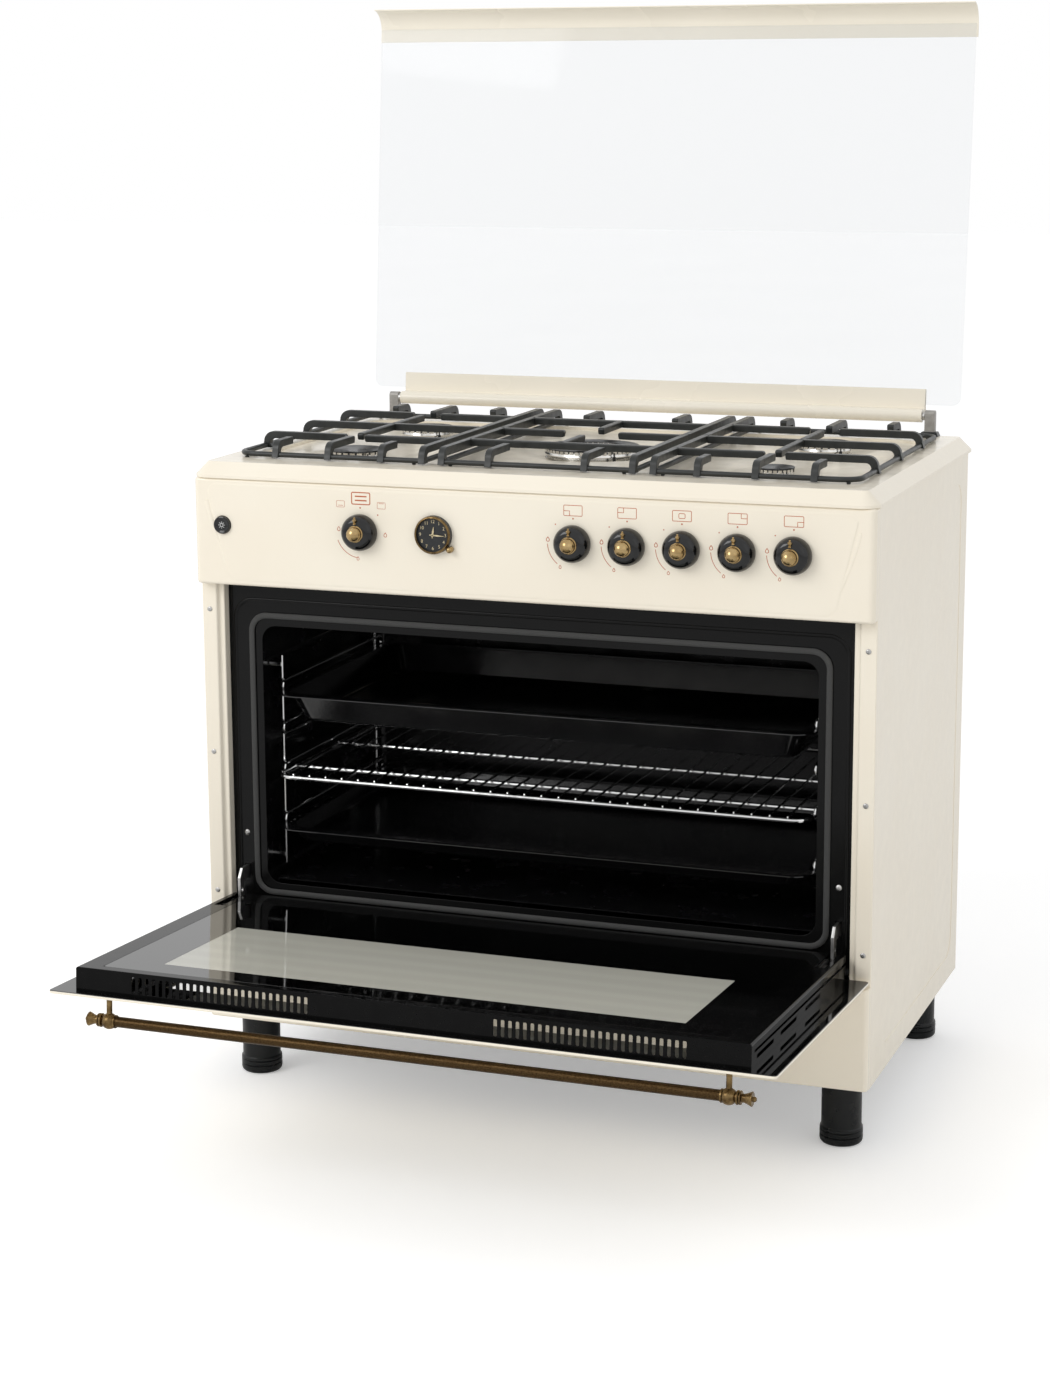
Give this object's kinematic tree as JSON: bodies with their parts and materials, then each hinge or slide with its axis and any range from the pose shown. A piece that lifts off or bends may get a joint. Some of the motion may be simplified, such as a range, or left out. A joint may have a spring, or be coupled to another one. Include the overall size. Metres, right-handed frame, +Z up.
{
  "type": "range cooker",
  "caption": "Free-standing gas range cooker with burners under a glass lid and one wide oven behind a drop-down glass door.",
  "frame": {"origin": "on the floor, at the centre of the outline seen from above with the door and the lid open", "axes": "+Z up, the front faces -Y, +X to the right of someone facing the front"},
  "size_m": [0.904, 1.0298, 1.4178],
  "materials": {
    "cream_enamel": "cream vitreous enamel, gloss",
    "black_enamel": "black vitreous enamel, speckled",
    "black_legs": "black satin paint",
    "pan_support": "matt black enamelled iron",
    "glass_clear": "clear tempered glass",
    "glass_dark": "tinted tempered glass with a printed border",
    "antique_brass": "antique brushed brass",
    "chrome_wire": "bright wire",
    "zinc_steel": "zinc plated steel",
    "burner_alloy": "cast burner alloy",
    "gasket_cord": "braided glass fibre cord",
    "knob_black": "gloss black plastic",
    "dial_black": "black dial under a brass bezel"
  },
  "bodies": {
    "cooker": {"side_panel_left": "cream_enamel", "side_panel_right": "cream_enamel", "back_panel": "zinc_steel", "base_pan": "zinc_steel", "plinth_panel": "cream_enamel", "control_panel": "cream_enamel", "hob_plate": "cream_enamel", "oven_liner": "black_enamel", "oven_front_frame": "black_enamel", "door_gasket": "gasket_cord", "shelf_ladder_left": "chrome_wire", "shelf_ladder_right": "chrome_wire", "grill_burner": "zinc_steel", "grill_shield": "zinc_steel", "oven_burner": "zinc_steel", "oven_floor_plate": "black_enamel", "gas_manifold": "zinc_steel", "gas_taps": "zinc_steel", "burner_bowls": "burner_alloy", "burner_crowns": "burner_alloy", "burner_caps": "pan_support", "legs": "black_legs", "door_hinge_claws": "zinc_steel", "lid_hinge_left": "zinc_steel", "lid_hinge_right": "zinc_steel", "clock_case": "antique_brass", "panel_screws": "zinc_steel", "oven_lamp": "glass_clear", "light_switch": "dial_black"},
    "door": {"door_outer_glass": "glass_dark", "door_inner_box": "black_enamel", "door_inner_glass": "glass_dark", "door_handle_bar": "antique_brass", "door_handle_posts": "antique_brass", "door_hinge_bodies": "zinc_steel"},
    "lid": {"lid_glass": "glass_clear", "lid_top_rail": "cream_enamel", "lid_bottom_rail": "cream_enamel"},
    "top_tray": {"top_tray": "black_enamel"},
    "wire_rack": {"wire_rack": "chrome_wire"},
    "lower_tray": {"lower_tray": "black_enamel"},
    "light_button": {"light_button": "knob_black"},
    "minute_hand": {"clock_minute_hand": "antique_brass"},
    "hour_hand": {"clock_hour_hand": "antique_brass"},
    "set_knob": {"clock_set_knob": "antique_brass"},
    "support_left": {"pan_support_left": "pan_support"},
    "support_middle": {"pan_support_middle": "pan_support"},
    "support_right": {"pan_support_right": "pan_support"},
    "oven_knob": {"oven_knob": "knob_black", "oven_knob_cap": "antique_brass"},
    "burner_knob_1": {"burner_knob_1": "knob_black", "burner_knob_1_cap": "antique_brass"},
    "burner_knob_2": {"burner_knob_2": "knob_black", "burner_knob_2_cap": "antique_brass"},
    "burner_knob_3": {"burner_knob_3": "knob_black", "burner_knob_3_cap": "antique_brass"},
    "burner_knob_4": {"burner_knob_4": "knob_black", "burner_knob_4_cap": "antique_brass"},
    "burner_knob_5": {"burner_knob_5": "knob_black", "burner_knob_5_cap": "antique_brass"}
  },
  "joints": [
    {"name": "door_hinge", "type": "hinge", "parent": "cooker", "child": "door", "pos_m": [0, -0.0814, 0.2432], "axis": [-1, 0, 0], "range_deg": [0, 86.5]},
    {"name": "lid_hinge", "type": "hinge", "parent": "cooker", "child": "lid", "pos_m": [0, 0.4494, 0.866], "axis": [1, 0, 0], "range_deg": [0, 95]},
    {"name": "top_tray_slide", "type": "slide", "parent": "cooker", "child": "top_tray", "axis": [0, 1, 0], "range_m": [-0.25, 0]},
    {"name": "wire_rack_slide", "type": "slide", "parent": "cooker", "child": "wire_rack", "axis": [0, 1, 0], "range_m": [-0.25, 0]},
    {"name": "lower_tray_slide", "type": "slide", "parent": "cooker", "child": "lower_tray", "axis": [0, 1, 0], "range_m": [-0.25, 0]},
    {"name": "oven_knob_turn", "type": "hinge", "parent": "cooker", "child": "oven_knob", "pos_m": [-0.215, -0.0956, 0.759], "axis": [0, -1, 0], "range_deg": [-90, 155]},
    {"name": "burner_knob_1_turn", "type": "hinge", "parent": "cooker", "child": "burner_knob_1", "pos_m": [0.07, -0.0956, 0.759], "axis": [0, -1, 0], "range_deg": [0, 160]},
    {"name": "burner_knob_2_turn", "type": "hinge", "parent": "cooker", "child": "burner_knob_2", "pos_m": [0.14, -0.0956, 0.759], "axis": [0, -1, 0], "range_deg": [0, 160]},
    {"name": "burner_knob_3_turn", "type": "hinge", "parent": "cooker", "child": "burner_knob_3", "pos_m": [0.21, -0.0956, 0.759], "axis": [0, -1, 0], "range_deg": [0, 160]},
    {"name": "burner_knob_4_turn", "type": "hinge", "parent": "cooker", "child": "burner_knob_4", "pos_m": [0.28, -0.0956, 0.759], "axis": [0, -1, 0], "range_deg": [0, 160]},
    {"name": "burner_knob_5_turn", "type": "hinge", "parent": "cooker", "child": "burner_knob_5", "pos_m": [0.35, -0.0956, 0.759], "axis": [0, -1, 0], "range_deg": [0, 160]},
    {"name": "light_button_press", "type": "slide", "parent": "cooker", "child": "light_button", "axis": [0, 1, 0], "range_m": [0, 0.003], "stiffness_N_per_m": 400},
    {"name": "clock_set_turn", "type": "hinge", "parent": "cooker", "child": "set_knob", "pos_m": [-0.0915, -0.0956, 0.7435], "axis": [0, 1, 0], "continuous": true},
    {"name": "minute_hand_turn", "type": "hinge", "parent": "cooker", "child": "minute_hand", "pos_m": [-0.1145, -0.0956, 0.761], "axis": [0, 1, 0], "continuous": true},
    {"name": "hour_hand_turn", "type": "hinge", "parent": "cooker", "child": "hour_hand", "pos_m": [-0.1145, -0.0956, 0.761], "axis": [0, 1, 0], "continuous": true},
    {"name": "support_left_lift", "type": "slide", "parent": "cooker", "child": "support_left", "axis": [0, 0, -1], "range_m": [-0.06, 0]},
    {"name": "support_middle_lift", "type": "slide", "parent": "cooker", "child": "support_middle", "axis": [0, 0, -1], "range_m": [-0.06, 0]},
    {"name": "support_right_lift", "type": "slide", "parent": "cooker", "child": "support_right", "axis": [0, 0, -1], "range_m": [-0.06, 0]}
  ],
  "couplings": [
    {"joint": "minute_hand_turn", "follows": "clock_set_turn", "ratio": 1},
    {"joint": "hour_hand_turn", "follows": "clock_set_turn", "ratio": 0.083333}
  ]
}
